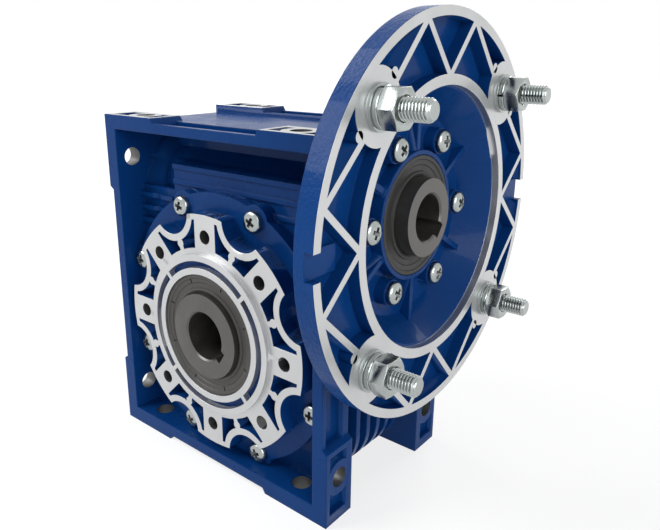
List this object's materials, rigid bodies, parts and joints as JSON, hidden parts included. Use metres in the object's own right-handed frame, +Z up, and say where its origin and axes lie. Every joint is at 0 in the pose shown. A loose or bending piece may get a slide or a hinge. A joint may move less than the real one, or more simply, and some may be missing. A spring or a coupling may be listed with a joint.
{
  "type": "worm gear reducer",
  "caption": "Worm gear reducer with a square blue housing, a hollow output shaft between lobed covers and a round ribbed motor flange with a hollow input shaft.",
  "frame": {"origin": "centre of the output bore, midway between its two ends", "axes": "-Y along the output axis towards the front cover, +X along the worm axis towards the motor, +Z up, with the worm above the output axis"},
  "size_m": [0.2235, 0.2, 0.261],
  "materials": {
    "blue_paint": "gloss",
    "zinc": "satin",
    "black_rubber": "matte",
    "seal_rubber": "matte",
    "dark_steel": "satin",
    "bronze": "satin",
    "gasket_paper": "matte",
    "spring_steel": "satin",
    "bearing_steel": "polished",
    "cage_steel": "satin"
  },
  "bodies": {
    "casing": {"housing": "blue_paint", "front_cover": "blue_paint", "rear_cover": "blue_paint", "front_cover_screws": "zinc", "rear_cover_screws": "zinc", "front_cover_o_ring": "black_rubber", "rear_cover_o_ring": "black_rubber", "front_output_seal": "seal_rubber", "rear_output_seal": "seal_rubber", "front_bearing_outer": "bearing_steel", "rear_bearing_outer": "bearing_steel", "input_bearing_outer": "bearing_steel", "tail_bearing_outer": "bearing_steel", "input_seal": "seal_rubber", "tail_circlip": "spring_steel", "tail_cap": "seal_rubber", "motor_flange": "blue_paint", "flange_gasket": "gasket_paper", "flange_screws": "zinc", "motor_bolts": "zinc", "flat_washers": "zinc", "spring_washers": "zinc", "motor_nuts": "zinc"},
    "output": {"output_shaft": "dark_steel", "wheel_rim": "bronze", "front_bearing_inner": "bearing_steel", "rear_bearing_inner": "bearing_steel"},
    "worm": {"worm_shaft": "dark_steel", "input_bearing_inner": "bearing_steel", "tail_bearing_inner": "bearing_steel", "input_circlip": "spring_steel"},
    "front_balls": {"front_bearing_balls": "bearing_steel", "front_bearing_cage": "cage_steel"},
    "rear_balls": {"rear_bearing_balls": "bearing_steel", "rear_bearing_cage": "cage_steel"},
    "input_balls": {"input_bearing_balls": "bearing_steel", "input_bearing_cage": "cage_steel"},
    "tail_balls": {"tail_bearing_balls": "bearing_steel", "tail_bearing_cage": "cage_steel"}
  },
  "joints": [
    {"name": "output_spin", "type": "hinge", "parent": "casing", "child": "output", "pos_m": [0, 0, 0], "axis": [0, 1, 0], "continuous": true},
    {"name": "worm_spin", "type": "hinge", "parent": "casing", "child": "worm", "pos_m": [0, 0, 0.075], "axis": [1, 0, 0], "continuous": true},
    {"name": "front_balls_spin", "type": "hinge", "parent": "casing", "child": "front_balls", "pos_m": [0, 0, 0], "axis": [0, 1, 0], "continuous": true},
    {"name": "rear_balls_spin", "type": "hinge", "parent": "casing", "child": "rear_balls", "pos_m": [0, 0, 0], "axis": [0, 1, 0], "continuous": true},
    {"name": "input_balls_spin", "type": "hinge", "parent": "casing", "child": "input_balls", "pos_m": [0, 0, 0.075], "axis": [1, 0, 0], "continuous": true},
    {"name": "tail_balls_spin", "type": "hinge", "parent": "casing", "child": "tail_balls", "pos_m": [0, 0, 0.075], "axis": [1, 0, 0], "continuous": true}
  ],
  "couplings": [
    {"joint": "worm_spin", "follows": "output_spin", "ratio": -30},
    {"joint": "front_balls_spin", "follows": "output_spin", "ratio": 0.43308},
    {"joint": "rear_balls_spin", "follows": "output_spin", "ratio": 0.43308},
    {"joint": "input_balls_spin", "follows": "output_spin", "ratio": -12.806},
    {"joint": "tail_balls_spin", "follows": "output_spin", "ratio": -11.922}
  ]
}
